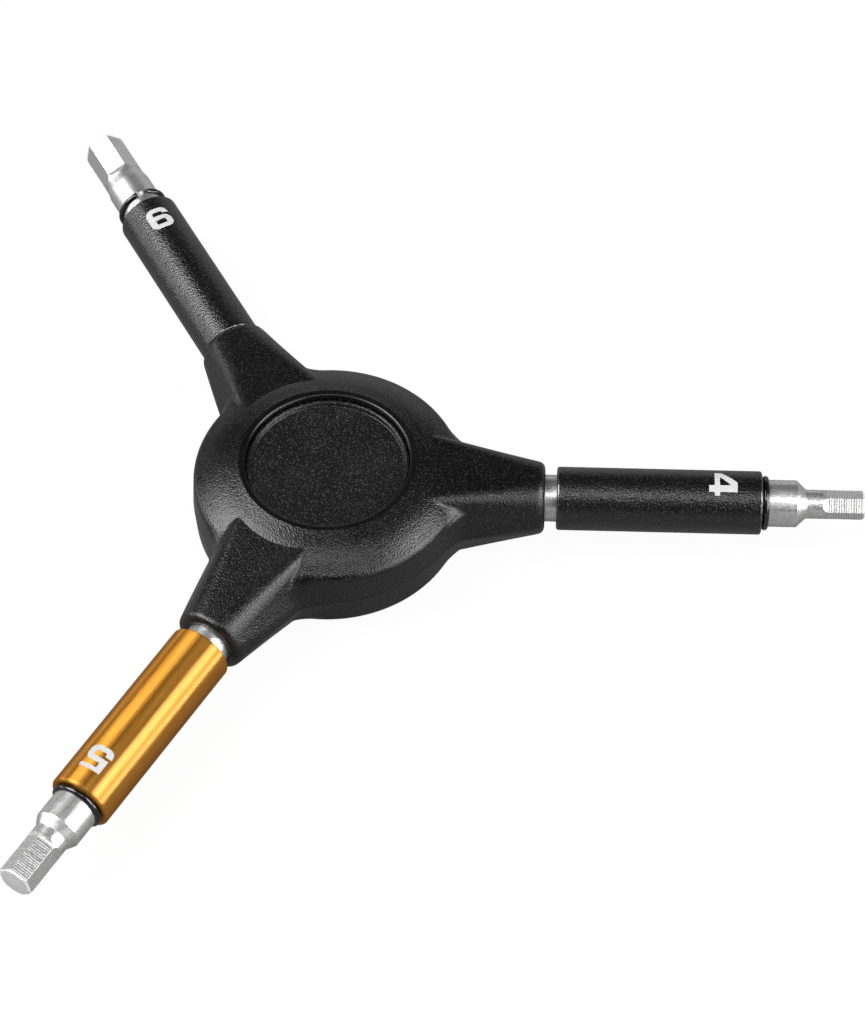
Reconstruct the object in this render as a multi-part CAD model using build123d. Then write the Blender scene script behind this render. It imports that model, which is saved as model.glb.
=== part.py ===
from build123d import *
from math import asin, cos, degrees, pi
import os

# Hex wrench with three arms at equal angles round a moulded hub, sizes in millimetres.
# Each arm is a round steel shank clamped in the hub, with a hex bit milled on its tip,
# and carries a hand sleeve that spins freely and slides a little between the hub and a ring.
# The origin is the centre of the hub's flat underside, +Z is up, and +X runs along the 4 mm arm.
# Along an arm, x is measured from the hub's axis; across it, y and z from the arm's own axis.

# Hex bits, measured across their flats
bit_4mm_across_flats = 4.0
bit_5mm_across_flats = 5.0
bit_6mm_across_flats = 6.0
hex_sides = 6

# Arms, counted round the hub at equal angles: the hex size, how far the sleeve stands
# off the hub at rest as a share of its play, and whether the ring is open at the top
arms = ("4mm", "6mm", "5mm")
across_flats = {
    "4mm": bit_4mm_across_flats,
    "6mm": bit_6mm_across_flats,
    "5mm": bit_5mm_across_flats,
}
rest_shares = {"4mm": 1, "6mm": 0, "5mm": 1}
ring_open_at_top = {"4mm": False, "6mm": True, "5mm": False}

# Hub, with heights measured from the parting plane of its two shells
hub_radius = 21.4
hub_half_height = 8.6
wall_draft = 0.3
shoulder_width = 3.5
shoulder_drop = 3.4
shoulder_rounding = 1.3
crown_width = 3.7
crown_drop = 1.2
crown_rounding = 16.0
rim_rounding = 1.5

# Noses of the hub, six-sided with rounded corners and widest at the parting plane
nose_end = 34.1
nose_root_offset = 1.6
nose_end_half_width = 6.35
nose_root_half_width = 9.7
nose_end_facet_half_width = 3.2
nose_root_facet_half_width = 6.9
nose_end_half_height = 5.45
nose_root_drop = 1.0
nose_end_corner_radius = 4.2
nose_root_corner_radius = 1.4
nose_flare = 5.0
nose_end_rounding = 0.7
nose_station_shares = (0, 0.1, 0.2, 0.3, 0.45, 0.7, 1)
flare_length_share = 0.45

# Recess in the top of the hub and the disc that closes it
recess_bevel_width = 1.0
recess_bevel_depth = 0.35
recess_depth = 2.85
disc_clearance = 0.1
disc_thickness = 1.2
disc_bead_height = 0.65
disc_bead_width = 0.55
disc_bead_slope_width = 0.3
disc_bead_rounding = 0.22

# Screws that hold the shells together, hidden under the disc
screw_count = 3
screw_edge_distance = 4.3
screw_direction = 60
screw_radius = 1.25
screw_length = 8.0
screw_head_radius = 2.25
screw_head_height = 1.5
screw_head_rounding = 0.4
screw_head_sink = 0.2
screw_socket_across_flats = 1.5
screw_socket_depth = 0.9
screw_clearance = 0.15
thread_clearance = 0.05
pilot_run_on = 0.8

# Shank, the part of it held in the hub, and how it is locked there
shank_radius = 3.7
shank_root = 6.0
key_length = 8.0
key_half_thickness = 2.8
lock_groove_start = 18.0
lock_groove_width = 2.0
lock_groove_depth = 0.6
root_chamfer = 0.5
seat_clearance = 0.05

# Sleeve that spins, and the split liner it spins on
sleeve_radius = 5.0
sleeve_length = 32.2
sleeve_play = 1.8
stop_clearance = 0.05
sleeve_rounding = 0.4
lip_length = 0.9
lip_clearance = 0.15
liner_thickness = 0.45
running_clearance = 0.06
liner_end_clearance = 0.1
liner_slit = 0.6

# Retaining ring of round wire, open on one side, in a groove of the shank
ring_wire_radius = 0.5
ring_inner_radius = 3.3
ring_gap = 1.6
ring_gap_direction = 2
ring_seat_clearance = 0.03

# Bit: the shank steps down to a round neck, and six flats are milled on its end
collar_length = 4.4
collar_rounding = 0.25
bit_length = 10.75
step_length = 1.5
step_rounding = 0.9
flat_length = 6.1
flat_cutter_radius = 1.0
bit_chamfer = 0.35
hex_direction = -18.5
hex_land = 0.03

cut_overrun = 1.0

shoulder_radius = hub_radius - wall_draft
shoulder_height = hub_half_height - shoulder_drop
crown_radius = shoulder_radius - shoulder_width
crown_height = hub_half_height - crown_drop
rim_radius = crown_radius - crown_width
recess_radius = rim_radius - recess_bevel_width
screw_circle_radius = recess_radius - screw_edge_distance
nose_root = rim_radius + nose_root_offset
nose_root_half_height = hub_half_height - nose_root_drop

key_end = shank_root + key_length
lock_groove_end = lock_groove_start + lock_groove_width
ring_groove_start = nose_end + sleeve_length + sleeve_play + 2 * stop_clearance
ring_middle = ring_groove_start + ring_seat_clearance + ring_wire_radius
ring_groove_end = ring_middle + ring_wire_radius + ring_seat_clearance
ring_groove_radius = ring_inner_radius - ring_seat_clearance
shoulder_end = ring_groove_end + collar_length
bit_tip = shoulder_end + bit_length
flat_start = bit_tip - flat_length

liner_inner_radius = shank_radius + running_clearance
liner_outer_radius = liner_inner_radius + liner_thickness
sleeve_bore_radius = liner_outer_radius + running_clearance

seat_height = hub_half_height - recess_depth
head_seat_height = seat_height - screw_head_sink - screw_head_height
screw_tip_height = head_seat_height - screw_length

across_arm = Plane(origin=(0, 0, 0), x_dir=(0, 1, 0), z_dir=(1, 0, 0))


def turned(points, radii, axis):
    """Solid of revolution about an axis, from a closed outline in the XZ plane."""
    outline = FilletPolyline(*points, radius=radii, close=True)
    return revolve(make_face(Plane.XZ * outline), axis)


def turned_on_arm(points, radii):
    """Solid turned about the arm's axis, from outline points given as (x, radius)."""
    return turned(points, radii, Axis.X)


def ring_of(part, count, first_direction):
    """Copies of a part at equal angles round the hub's axis."""
    step = 360 / count
    return [Rot(0, 0, first_direction + step * index) * part for index in range(count)]


def between(start_value, end_value, share):
    return start_value + (end_value - start_value) * share


def nose_section(share):
    """Six-sided section of a nose at a share of the way from its root to its end."""
    flare_share = max(0, 1 - share / flare_length_share)
    half_width = between(nose_root_half_width, nose_end_half_width, share)
    half_width += nose_flare * flare_share**3
    facet_half_width = between(nose_root_facet_half_width, nose_end_facet_half_width, share)
    half_height = between(nose_root_half_height, nose_end_half_height, share)
    corner_radius = between(nose_root_corner_radius, nose_end_corner_radius, share)
    corners = [
        (half_width, 0),
        (facet_half_width, half_height),
        (-facet_half_width, half_height),
        (-half_width, 0),
        (-facet_half_width, -half_height),
        (facet_half_width, -half_height),
    ]
    outline = FilletPolyline(*corners, radius=corner_radius, close=True)
    x = between(nose_root, nose_end, share)
    return Pos(x, 0, 0) * (across_arm * make_face(outline))


def make_nose():
    nose = loft([nose_section(share) for share in nose_station_shares])
    end_edges = nose.faces().sort_by(Axis.X)[-1].edges()
    return fillet(end_edges, nose_end_rounding)


def make_hub_body():
    """Both shells as one closed form: a crowned disc with three noses."""
    upper = [
        (shoulder_radius, shoulder_height),
        (crown_radius, crown_height),
        (rim_radius, hub_half_height),
    ]
    upper_radii = [shoulder_rounding, crown_rounding, rim_rounding]
    lower = [(x, -z) for x, z in reversed(upper)]
    points = [(0, -hub_half_height), *lower, (hub_radius, 0), *upper, (0, hub_half_height)]
    radii = [0, *reversed(upper_radii), 0, *upper_radii, 0]
    body = turned(points, radii, Axis.Z)
    for nose in ring_of(make_nose(), len(arms), 0):
        body += nose
    return body


def shank_root_form(clearance, end):
    """Round bar from the hub's middle to a given end, with the key flats and lock groove.

    With a clearance it is the pocket that holds the bar, and the flats stay face to face.
    """
    start = shank_root - clearance
    radius = shank_radius + clearance
    groove_radius = shank_radius - lock_groove_depth + clearance
    groove_start = lock_groove_start + clearance
    groove_end = lock_groove_end - clearance
    points = [
        (start, 0),
        (start, radius - root_chamfer),
        (start + root_chamfer, radius),
        (groove_start, radius),
        (groove_start, groove_radius),
        (groove_end, groove_radius),
        (groove_end, radius),
        (end, radius),
        (end, 0),
    ]
    bar = turned_on_arm(points, 0)
    flat_end = key_end - clearance
    flat_length_cut = flat_end - start + cut_overrun
    slab = Box(
        flat_length_cut,
        2 * (radius + cut_overrun),
        radius,
        align=(Align.MAX, Align.CENTER, Align.MIN),
    )
    bar -= Pos(flat_end, 0, key_half_thickness) * slab
    bar -= Pos(flat_end, 0, -key_half_thickness) * mirror(slab, Plane.XY)
    return bar


def hex_flat_cutters(size_across_flats):
    """Six cutters that mill the flats, each ending in the round of the cutter."""
    half = size_across_flats / 2
    reach = shank_radius + cut_overrun
    run = Box(
        flat_length + cut_overrun,
        2 * reach,
        reach,
        align=(Align.MIN, Align.CENTER, Align.MIN),
    )
    run_out = Rot(90, 0, 0) * Cylinder(flat_cutter_radius, 2 * reach)
    cutter = Pos(flat_start, 0, half) * run
    cutter += Pos(flat_start, 0, half + flat_cutter_radius) * run_out
    step = 360 / hex_sides
    return [Rot(hex_direction + step * index, 0, 0) * cutter for index in range(hex_sides)]


def make_shank(size_across_flats):
    """Steel shank with its keyed root, ring groove, stepped neck and milled hex bit."""
    bar = shank_root_form(0, ring_groove_start)
    corner_radius = size_across_flats / 2 / cos(pi / hex_sides)
    neck_radius = corner_radius - hex_land
    points = [
        (ring_groove_start, 0),
        (ring_groove_start, ring_groove_radius),
        (ring_groove_end, ring_groove_radius),
        (ring_groove_end, shank_radius),
        (shoulder_end, shank_radius),
        (shoulder_end + step_length, neck_radius),
        (bit_tip - bit_chamfer, neck_radius),
        (bit_tip, neck_radius - bit_chamfer),
        (bit_tip, 0),
    ]
    radii = [0, 0, 0, 0, collar_rounding, step_rounding, 0, 0, 0]
    bar += turned_on_arm(points, radii)
    for cutter in hex_flat_cutters(size_across_flats):
        bar -= cutter
    return bar


def make_sleeve(start):
    """Hand sleeve with a lip at each end that holds the liner inside."""
    end = start + sleeve_length
    lip_radius = shank_radius + lip_clearance
    points = [
        (start, lip_radius),
        (start + lip_length, lip_radius),
        (start + lip_length, sleeve_bore_radius),
        (end - lip_length, sleeve_bore_radius),
        (end - lip_length, lip_radius),
        (end, lip_radius),
        (end, sleeve_radius),
        (start, sleeve_radius),
    ]
    radii = [0, 0, 0, 0, 0, 0, sleeve_rounding, sleeve_rounding]
    return turned_on_arm(points, radii)


def make_liner(start):
    """Thin liner between shank and sleeve, slit along its underside to snap in."""
    liner_start = start + lip_length + liner_end_clearance
    liner_end = start + sleeve_length - lip_length - liner_end_clearance
    points = [
        (liner_start, liner_inner_radius),
        (liner_end, liner_inner_radius),
        (liner_end, liner_outer_radius),
        (liner_start, liner_outer_radius),
    ]
    slit = Box(
        liner_end - liner_start + 2 * cut_overrun,
        liner_slit,
        liner_outer_radius + cut_overrun,
        align=(Align.MIN, Align.CENTER, Align.MAX),
    )
    return turned_on_arm(points, 0) - Pos(liner_start - cut_overrun, 0, 0) * slit


def make_retaining_ring(open_at_top):
    """Ring of round wire, open by the ring gap near the arm's upper side or below it."""
    wire_circle_radius = ring_inner_radius + ring_wire_radius
    gap_angle = 2 * degrees(asin(ring_gap / 2 / wire_circle_radius))
    wire = Plane.XZ * Pos(ring_middle, wire_circle_radius) * Circle(ring_wire_radius)
    ring = revolve(wire, Axis.X, 360 - gap_angle)
    turn = gap_angle / 2 if open_at_top else gap_angle / 2 + 180
    return Rot(ring_gap_direction + turn, 0, 0) * ring


def make_disc():
    """Shallow disc with a raised bead round its edge, seated in the recess."""
    edge = recess_radius - disc_clearance
    floor_height = seat_height + disc_thickness
    bead_top = floor_height + disc_bead_height
    points = [
        (0, seat_height),
        (edge, seat_height),
        (edge, bead_top),
        (edge - disc_bead_width, bead_top),
        (edge - disc_bead_width - disc_bead_slope_width, floor_height),
        (0, floor_height),
    ]
    radii = [0, 0, disc_bead_rounding, disc_bead_rounding, 0, 0]
    return turned(points, radii, Axis.Z)


def make_recess_cut():
    """Recess with a bevelled rim, down to the seat of the disc."""
    top = hub_half_height + cut_overrun
    bevel_bottom = hub_half_height - recess_bevel_depth
    points = [
        (0, seat_height),
        (recess_radius, seat_height),
        (recess_radius, bevel_bottom),
        (rim_radius, hub_half_height),
        (rim_radius, top),
        (0, top),
    ]
    return turned(points, 0, Axis.Z)


def make_screw():
    """Pan-head screw, standing on the hub's axis."""
    points = [
        (0, screw_tip_height),
        (screw_radius, screw_tip_height),
        (screw_radius, head_seat_height),
        (screw_head_radius, head_seat_height),
        (screw_head_radius, head_seat_height + screw_head_height),
        (0, head_seat_height + screw_head_height),
    ]
    screw = turned(points, [0, 0, 0, 0, screw_head_rounding, 0], Axis.Z)
    socket = extrude(
        RegularPolygon(screw_socket_across_flats / 2, hex_sides, major_radius=False),
        screw_socket_depth + cut_overrun,
    )
    return screw - Pos(0, 0, head_seat_height + screw_head_height - screw_socket_depth) * socket


def make_upper_screw_cut():
    """Clearance hole and counterbore for one screw in the upper shell."""
    hole_radius = screw_radius + screw_clearance
    bore_radius = screw_head_radius + screw_clearance
    points = [
        (0, -cut_overrun),
        (hole_radius, -cut_overrun),
        (hole_radius, head_seat_height),
        (bore_radius, head_seat_height),
        (bore_radius, seat_height + cut_overrun),
        (0, seat_height + cut_overrun),
    ]
    return turned(points, 0, Axis.Z)


def make_pilot_cut():
    """Blind hole in the lower shell that the screw bites into."""
    hole_radius = screw_radius + thread_clearance
    bottom = screw_tip_height - pilot_run_on
    points = [(0, bottom), (hole_radius, bottom), (hole_radius, cut_overrun), (0, cut_overrun)]
    return turned(points, 0, Axis.Z)


def around_screws(part):
    return ring_of(Pos(screw_circle_radius, 0, 0) * part, screw_count, screw_direction)


def make_shells():
    """Upper and lower shell, parted at the arms' plane and hollowed for what they hold."""
    body = make_hub_body()
    pocket = shank_root_form(seat_clearance, nose_end + cut_overrun)
    for arm_pocket in ring_of(pocket, len(arms), 0):
        body -= arm_pocket
    upper = split(body, bisect_by=Plane.XY, keep=Keep.TOP) - make_recess_cut()
    lower = split(body, bisect_by=Plane.XY, keep=Keep.BOTTOM)
    for cut in around_screws(make_upper_screw_cut()):
        upper -= cut
    for cut in around_screws(make_pilot_cut()):
        lower -= cut
    return upper, lower


def make_parts():
    """Every node of the wrench, by name, in the wrench's own frame."""
    upper, lower = make_shells()
    parts = {
        "upper_shell": upper,
        "lower_shell": lower,
        "centre_disc": make_disc(),
        "shell_screws": Part() + around_screws(make_screw()),
    }
    for index, arm in enumerate(arms):
        direction = 360 / len(arms) * index
        start = nose_end + stop_clearance + sleeve_play * rest_shares[arm]
        arm_parts = {
            "shank": make_shank(across_flats[arm]),
            "sleeve_liner": make_liner(start),
            "sleeve": make_sleeve(start),
            "retaining_ring": make_retaining_ring(ring_open_at_top[arm]),
        }
        for name, part in arm_parts.items():
            parts[f"{name}_{arm}"] = Rot(0, 0, direction) * part
    return {name: Pos(0, 0, hub_half_height) * part for name, part in parts.items()}


os.makedirs("parts", exist_ok=True)
for name, part in make_parts().items():
    export_step(part, f"parts/{name}.step")
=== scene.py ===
import logging
import math
from dataclasses import dataclass, field
from enum import Enum

import bpy
import numpy as np
from mathutils import Matrix


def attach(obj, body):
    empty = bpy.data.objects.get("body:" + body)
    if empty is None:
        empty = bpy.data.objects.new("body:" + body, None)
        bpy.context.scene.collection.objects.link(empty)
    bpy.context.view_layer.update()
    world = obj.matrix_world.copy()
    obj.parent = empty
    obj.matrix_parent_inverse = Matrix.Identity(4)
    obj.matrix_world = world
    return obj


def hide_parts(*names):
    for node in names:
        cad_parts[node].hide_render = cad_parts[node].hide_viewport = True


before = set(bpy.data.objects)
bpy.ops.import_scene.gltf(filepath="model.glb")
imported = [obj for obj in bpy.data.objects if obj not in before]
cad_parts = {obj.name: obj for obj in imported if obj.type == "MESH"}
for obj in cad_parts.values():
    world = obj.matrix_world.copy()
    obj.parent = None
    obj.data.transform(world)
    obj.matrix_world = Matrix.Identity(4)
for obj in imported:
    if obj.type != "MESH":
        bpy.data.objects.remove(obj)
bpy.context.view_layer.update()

# Hex wrench with three spinning sleeves. Lengths are in millimetres and angles in fields are in
# degrees, unless a name or a comment says otherwise. Along an arm, x is measured from the hub's
# axis, and heights from the plane of the three arms. A span is a low and a high value.

LOG = logging.getLogger("wrench")
MM = 0.001
ARM_HEIGHT = 8.6
FLOW_LENGTH = 100.0

Array = np.ndarray
Socket = bpy.types.NodeSocket
Material = bpy.types.Material
Vector = tuple[float, float, float]
Colour = tuple[float, float, float]
Span = tuple[float, float]
Points = list[tuple[float, float]]
Edges = tuple[Array, Array]

# The two ways of a ramp between none and all, and where most of a noise lies.
RISING: Span = (0.0, 1.0)
FALLING: Span = (1.0, 0.0)
MIDDLE: Span = (0.3, 0.7)
WHITE = (1.0, 1.0, 1.0, 1.0)


class Mark(Enum):
    """What a mesh keeps at its points, for the finish to read."""

    PLAIN = 0.0
    CUT = 1.0
    FACED = 2.0


@dataclass(frozen=True)
class ArmSizes:
    """What differs between the arms.

    Attributes:
        label: The arm's name, as its nodes end in it.
        bearing: Direction round the hub.
        across_flats: Size of the hex bit.
        sleeve_start: Where the sleeve starts at rest.
        print_from_end: Length between the middle of the printed size and the sleeve's end.
        flat_length: Length of the milled flats from the tip, without their run-out.
    """

    label: str
    bearing: float
    across_flats: float
    sleeve_start: float
    print_from_end: float
    flat_length: float


class Arm(ArmSizes, Enum):
    """The three arms, by the size of their bits."""

    FOUR = ("4mm", 0.0, 4.0, 35.95, 6.23, 5.8)
    SIX = ("6mm", 120.0, 6.0, 34.15, 5.08, 7.7)
    FIVE = ("5mm", 240.0, 5.0, 35.95, 5.45, 6.7)

    @property
    def direction(self) -> float:
        """Direction round the hub, in radians."""
        return math.radians(self.bearing)

    def place(self, points: Array) -> Array:
        """Turns points of this arm, in millimetres, into the wrench's frame, in metres.

        Args:
            points: Array whose last axis is (along the arm, across it, height).

        Returns:
            The points turned about the hub's axis, lifted to the arms' plane and scaled.
        """
        cosine, sine = math.cos(self.direction), math.sin(self.direction)
        turn = np.array([[cosine, sine, 0.0], [-sine, cosine, 0.0], [0.0, 0.0, 1.0]])
        return (points @ turn + np.array([0.0, 0.0, ARM_HEIGHT])) * MM


def lifted(points: Array) -> Array:
    """Points about the hub's centre, in millimetres, in the wrench's frame, in metres."""
    return (points + np.array([0.0, 0.0, ARM_HEIGHT])) * MM


def spaced(stops: list[float], steps: tuple[int, ...]) -> Array:
    """Rising values from stop to stop, even between each two.

    Args:
        stops: The values at the ends of the spans.
        steps: Number of steps in each span.

    Returns:
        The values, from the first stop to the last.
    """
    spans = zip(stops, stops[1:], steps)
    inner = [np.linspace(start, end, count, endpoint=False) for start, end, count in spans]
    return np.concatenate([*inner, stops[-1:]])


def rounded_outline(corners: Points, radii: list[float], closed: bool = False, steps: int = 7) -> Array:
    """Polyline with its corners rounded to arcs.

    At a corner the arc touches both sides at radius times the tangent of half the turn from the
    corner, and its centre lies on the bisector. Its points stand at even angles about the centre.

    Args:
        corners: Corner points in order.
        radii: One radius for each corner, 0 where it stays sharp.
        closed: Whether the last corner joins the first.
        steps: Number of steps of each arc.

    Returns:
        Array of points, two numbers each.
    """
    points = np.array(corners, float)
    out = []
    count = len(points)
    for index, radius in enumerate(radii):
        corner = points[index]
        inner = closed or 0 < index < count - 1
        if radius <= 0 or not inner:
            out.append(corner[None])
            continue
        back = points[index - 1] - corner
        ahead = points[(index + 1) % count] - corner
        back /= np.linalg.norm(back)
        ahead /= np.linalg.norm(ahead)
        half = math.acos(np.clip(back @ ahead, -1, 1)) / 2
        bisector = (back + ahead) / np.linalg.norm(back + ahead)
        centre = corner + bisector * radius / math.sin(half)
        first = corner + back * radius / math.tan(half) - centre
        last = corner + ahead * radius / math.tan(half) - centre
        sweep = math.atan2(first[0] * last[1] - first[1] * last[0], first @ last)
        angles = np.linspace(0, sweep, steps + 1)[:, None]
        side = np.array([-first[1], first[0]])
        out.append(centre + first * np.cos(angles) + side * np.sin(angles))
    return np.concatenate(out)


def turned_about_x(profile: Array, angles: Array) -> Array:
    """Surface of revolution about an arm: each profile point (x, r) goes to x, -r sin, r cos.

    Args:
        profile: Array of (x, radius) points.
        angles: Angles about the arm from its upper side, in radians.

    Returns:
        Grid of points, a row for each profile point and a column for each angle.
    """
    along = np.broadcast_to(profile[:, :1], (len(profile), len(angles)))
    across = -profile[:, 1:] * np.sin(angles)
    height = profile[:, 1:] * np.cos(angles)
    return np.stack([along, across, height], axis=-1)


def turned_about_z(profile: Array, angles: Array) -> Array:
    """Surface of revolution about the hub's axis: each profile point (r, z) goes round in a circle.

    Args:
        profile: Array of (radius, height) points.
        angles: Angles about the axis, in radians.

    Returns:
        Grid of points, a row for each profile point and a column for each angle.
    """
    across = profile[:, :1] * np.cos(angles)
    away = profile[:, :1] * np.sin(angles)
    height = np.broadcast_to(profile[:, 1:], across.shape)
    return np.stack([across, away, height], axis=-1)


def full_turn(columns: int) -> Array:
    """Even angles round a full turn, from the underside on, without the last that meets the first."""
    return np.linspace(-math.pi, math.pi, columns, endpoint=False)


def flow_along(along: Array, angles: Array) -> Array:
    """Place along the arm and angle about it at each point of a grid, in flow lengths and turns."""
    return np.stack(np.broadcast_arrays(along / FLOW_LENGTH, angles / (2 * math.pi)), axis=-1)


class MeshBuilder:
    """Vertices and faces gathered from grids of points, with poles that close them."""

    def __init__(self) -> None:
        """Starts an empty mesh."""
        self.points: list[Array] = []
        self.faces: list[Array] = []
        self.values: list[Array] = []
        self.flows: list[Array] = []
        self.count = 0

    def add_points(self, points: Array, value: float | Array = 0.0, flow: float | Array = 0.0) -> Array:
        """Adds points without faces.

        Args:
            points: Grid of points, three numbers each.
            value: Number kept with the points, for the finish to read.
            flow: Two numbers kept with each point, of which the first rises along the piece.

        Returns:
            The numbers of the new vertices, in the shape of the grid.
        """
        flat = points.reshape(-1, 3)
        self.points.append(flat)
        self.values.append(np.broadcast_to(value, points.shape[:-1]).reshape(-1))
        self.flows.append(np.broadcast_to(flow, (*points.shape[:-1], 2)).reshape(-1, 2))
        numbers = np.arange(self.count, self.count + len(flat)).reshape(points.shape[:-1])
        self.count += len(flat)
        return numbers

    def add_grid(
        self,
        points: Array,
        wrap_rows: bool,
        wrap_columns: bool,
        value: float | Array = 0.0,
        flow: Array | float = 0.0,
    ) -> Array:
        """Adds a grid of points with a four-sided face between each two rows and columns.

        Args:
            points: Grid of points, rows by columns by three.
            wrap_rows: Whether the last row joins the first.
            wrap_columns: Whether the last column joins the first.
            value: Number kept with the points, for the finish to read.
            flow: Two numbers kept with each point, of which the first rises along the piece.

        Returns:
            The numbers of the grid's vertices.
        """
        numbers = self.add_points(points, value, flow)
        near = numbers if wrap_rows else numbers[:-1]
        far = np.roll(numbers, -1, axis=0) if wrap_rows else numbers[1:]
        right_near = np.roll(near, -1, axis=1)
        right_far = np.roll(far, -1, axis=1)
        quads = np.stack([near, far, right_far, right_near], axis=-1)
        if not wrap_columns:
            quads = quads[:, :-1]
        self.faces.append(quads.reshape(-1, 4))
        return numbers

    def close_start(self, ring: Array, pole: Array) -> None:
        """Closes the first ring of a grid with a fan of triangles to a pole."""
        tip = self.add_points(pole[None])[0]
        self.faces.append(np.stack([np.full_like(ring, tip), ring, np.roll(ring, -1)], axis=-1))

    def close_end(self, ring: Array, pole: Array, value: float = 0.0) -> None:
        """Closes the last ring of a grid with a fan of triangles to a pole."""
        tip = self.add_points(pole[None], value)[0]
        self.faces.append(np.stack([np.full_like(ring, tip), np.roll(ring, -1), ring], axis=-1))

    def signed_volume(self, points: Array) -> float:
        """Six times the volume inside the faces, negative where they point inwards.

        A face is a fan of triangles. The triple product of a triangle's corners is six times the
        volume between it and the origin, and the sum over all triangles is that of the whole.

        Args:
            points: The vertices.

        Returns:
            The sum.
        """
        total = 0.0
        for faces in self.faces:
            corner = points[faces]
            for index in range(1, faces.shape[1] - 1):
                cross = np.cross(corner[:, index], corner[:, index + 1])
                total += float((corner[:, 0] * cross).sum())
        return total

    def build(
        self, name: str, sharp_angle: float | None = None, normals: Array | None = None
    ) -> bpy.types.Object:
        """Makes the object, with its faces turned outwards.

        Args:
            name: The piece's name.
            sharp_angle: Angle in degrees past which an edge stays crisp, or None for none.
            normals: One normal for each vertex, or None to take them from the faces.

        Returns:
            The new object, at the origin of the wrench's frame.
        """
        points = np.concatenate(self.points)
        groups = self.faces
        if self.signed_volume(points) < 0:
            groups = [faces[:, ::-1] for faces in groups]
        mesh = bpy.data.meshes.new(name)
        mesh.from_pydata(points.tolist(), [], [face for faces in groups for face in faces.tolist()])
        mesh.polygons.foreach_set("use_smooth", np.ones(len(mesh.polygons), bool))
        mark = mesh.attributes.new("mark", "FLOAT", "POINT")
        mark.data.foreach_set("value", np.concatenate(self.values).astype(np.float32))
        corners = np.empty(len(mesh.loops), np.int32)
        mesh.loops.foreach_get("vertex_index", corners)
        flow = mesh.uv_layers.new(name="flow")
        flow.uv.foreach_set("vector", np.concatenate(self.flows)[corners].astype(np.float32).ravel())
        mesh.update()
        if sharp_angle is not None:
            mesh.set_sharp_from_angle(angle=math.radians(sharp_angle))
        if normals is not None:
            mesh.normals_split_custom_set_from_vertices(normals.tolist())
        piece = bpy.data.objects.new(name, mesh)
        bpy.context.scene.collection.objects.link(piece)
        return piece


class NodeTree:
    """Nodes added to a tree and joined by short calls."""

    def __init__(self, tree: bpy.types.NodeTree) -> None:
        """Takes the tree that the nodes go into."""
        self.tree = tree

    def add(
        self, kind: str, values: dict[str | int, object] | None = None, **settings: object
    ) -> bpy.types.Node:
        """Adds a node.

        Args:
            kind: The node's type.
            values: Inputs by name or number: a socket is linked and anything else is set.
            settings: The node's own settings.

        Returns:
            The new node.
        """
        node = self.tree.nodes.new(kind)
        for name, setting in settings.items():
            setattr(node, name, setting)
        for key, value in (values or {}).items():
            self.put(node.inputs[key], value)
        return node

    def put(self, socket: Socket, value: object) -> None:
        """Fills an input.

        Args:
            socket: The input.
            value: A socket, which is linked, or anything else, which is set.
        """
        if isinstance(value, Socket):
            self.tree.links.new(value, socket)
        else:
            socket.default_value = value

    def ramp(self, value: Socket, span: Span, ends: tuple[object, object] = RISING) -> Socket:
        """Maps a value to the way between two ends, held at both.

        Args:
            value: The value.
            span: What it is at the first end and at the second one.
            ends: Result at each end, a number or a socket.

        Returns:
            The result.
        """
        names = ("From Min", "From Max", "To Min", "To Max")
        values = {"Value": value, **dict(zip(names, (*span, *ends)))}
        return self.add("ShaderNodeMapRange", values).outputs["Result"]

    def maths(self, operation: str, first: object, second: object = 0.0) -> Socket:
        """One sum on two values."""
        return self.add("ShaderNodeMath", {0: first, 1: second}, operation=operation).outputs[0]

    def rays(self) -> tuple[Socket, Socket]:
        """Tells rays apart.

        Returns:
            1 on rays from the camera, and 1 on rays that a surface mirrors or lets through.
        """
        path = self.add("ShaderNodeLightPath").outputs
        mirrored = self.maths("MAXIMUM", path["Is Glossy Ray"], path["Is Transmission Ray"])
        return path["Is Camera Ray"], mirrored


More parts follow.
